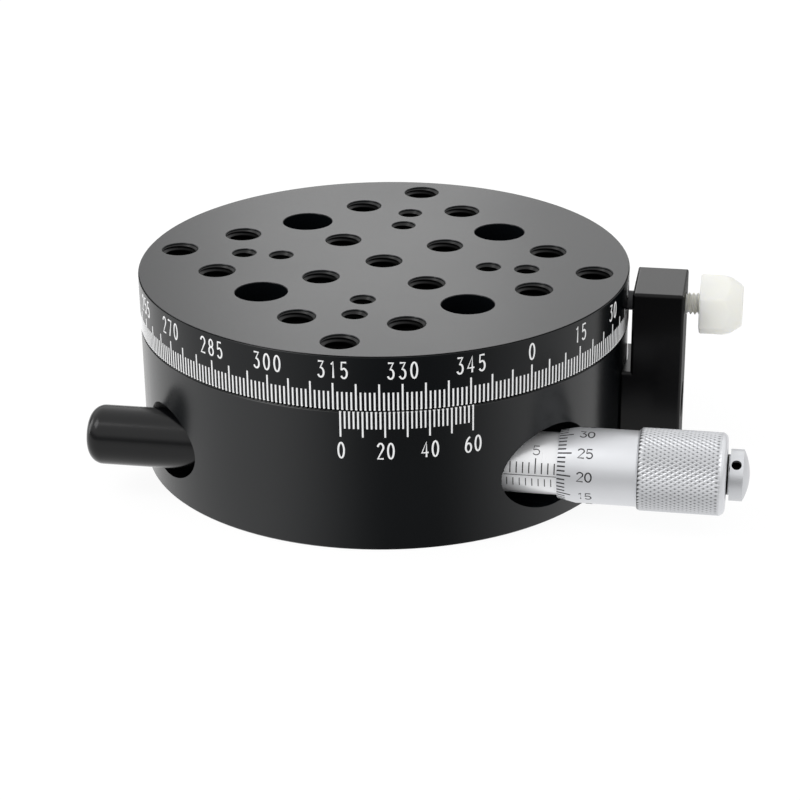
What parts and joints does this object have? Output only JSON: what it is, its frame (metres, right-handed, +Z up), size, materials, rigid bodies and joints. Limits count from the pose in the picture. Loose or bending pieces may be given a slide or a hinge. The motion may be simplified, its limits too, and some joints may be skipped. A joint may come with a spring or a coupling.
{
  "type": "rotation stage",
  "caption": "Round manual rotation stage with a graduated table, vernier, tangent micrometer fine drive, spring plunger and side lock screw.",
  "frame": {"origin": "on the rotation axis, at the underside of the base, centre of the base bolt circle", "axes": "+X along the micrometer towards its thimble, +Z up out of the table, +Y away from the micrometer"},
  "size_m": [0.1074, 0.082, 0.0336],
  "materials": {
    "black_anodised": "fine satin black anodise",
    "plunger_black": "gloss black anodise",
    "black_screws": "black oxide",
    "bearing_steel": "ground",
    "cage_brass": "machined",
    "bare_aluminium": "machined",
    "satin_chrome": "satin",
    "nylon": "natural nylon, slightly translucent",
    "acetal": "smooth",
    "scale_white": "white fill in the engraved lines",
    "scale_black": "black fill in the engraved lines"
  },
  "bodies": {
    "base": {"base": "black_anodised", "bottom_cover": "black_anodised", "cover_screws": "black_screws", "bearing_outer_rings": "bearing_steel", "bearing_retainer": "black_anodised", "retainer_screws": "black_screws", "micrometer_barrel": "satin_chrome", "micrometer_sleeve": "satin_chrome", "adjusting_nut": "satin_chrome", "stem_set_screw": "black_screws", "plunger_housing": "plunger_black", "plunger_bushing": "cage_brass", "plunger_spring": "bearing_steel"},
    "drive": {"drive_ring": "bare_aluminium", "drive_anvils": "bearing_steel", "lock_block": "black_anodised", "block_screw": "black_screws"},
    "table": {"table": "black_anodised", "bearing_inner_rings": "bearing_steel", "hub_washer": "bearing_steel", "hub_nut": "bearing_steel"},
    "cage": {"bearing_cages": "cage_brass", "bearing_balls": "bearing_steel"},
    "spindle": {"spindle": "bearing_steel"},
    "thimble": {"thimble": "satin_chrome", "thimble_cap": "satin_chrome"},
    "plunger_pin": {"plunger_pin": "bearing_steel"},
    "lock_pad": {"lock_pad": "acetal"},
    "lock_screw": {"lock_screw": "nylon"}
  },
  "joints": [
    {"name": "fine_turn", "type": "hinge", "parent": "base", "child": "drive", "pos_m": [0, 0, 0.0196], "axis": [0, 0, 1], "range_deg": [-5.01, 5.01]},
    {"name": "coarse_turn", "type": "hinge", "parent": "drive", "child": "table", "pos_m": [0, 0, 0.0149], "axis": [0, 0, 1], "continuous": true},
    {"name": "cage_turn", "type": "hinge", "parent": "base", "child": "cage", "pos_m": [0, 0, 0.0149], "axis": [0, 0, 1], "continuous": true},
    {"name": "spindle_feed", "type": "slide", "parent": "base", "child": "spindle", "axis": [1, 0, 0], "range_m": [-0.00222, 0.00222]},
    {"name": "thimble_turn", "type": "hinge", "parent": "spindle", "child": "thimble", "pos_m": [0.05, -0.0254, 0.0098], "axis": [1, 0, 0], "range_deg": [-1598.4, 1598.4]},
    {"name": "plunger_slide", "type": "slide", "parent": "base", "child": "plunger_pin", "axis": [1, 0, 0], "range_m": [-0.00222, 0.00222], "deforming": ["plunger_spring"]},
    {"name": "pad_slide", "type": "slide", "parent": "drive", "child": "lock_pad", "axis": [1, 0, 0], "range_m": [0, 0.0021]},
    {"name": "lock_turn", "type": "hinge", "parent": "lock_pad", "child": "lock_screw", "pos_m": [0.05, 0, 0.0283], "axis": [1, 0, 0], "range_deg": [0, 1080]}
  ],
  "couplings": [
    {"joint": "fine_turn", "follows": "spindle_feed", "rad_per_m": 39.37},
    {"joint": "thimble_turn", "follows": "spindle_feed", "rad_per_m": 12566},
    {"joint": "plunger_slide", "follows": "spindle_feed", "ratio": 1},
    {"joint": "cage_turn", "follows": "coarse_turn", "ratio": 0.5},
    {"joint": "lock_turn", "follows": "pad_slide", "rad_per_m": 8976}
  ]
}
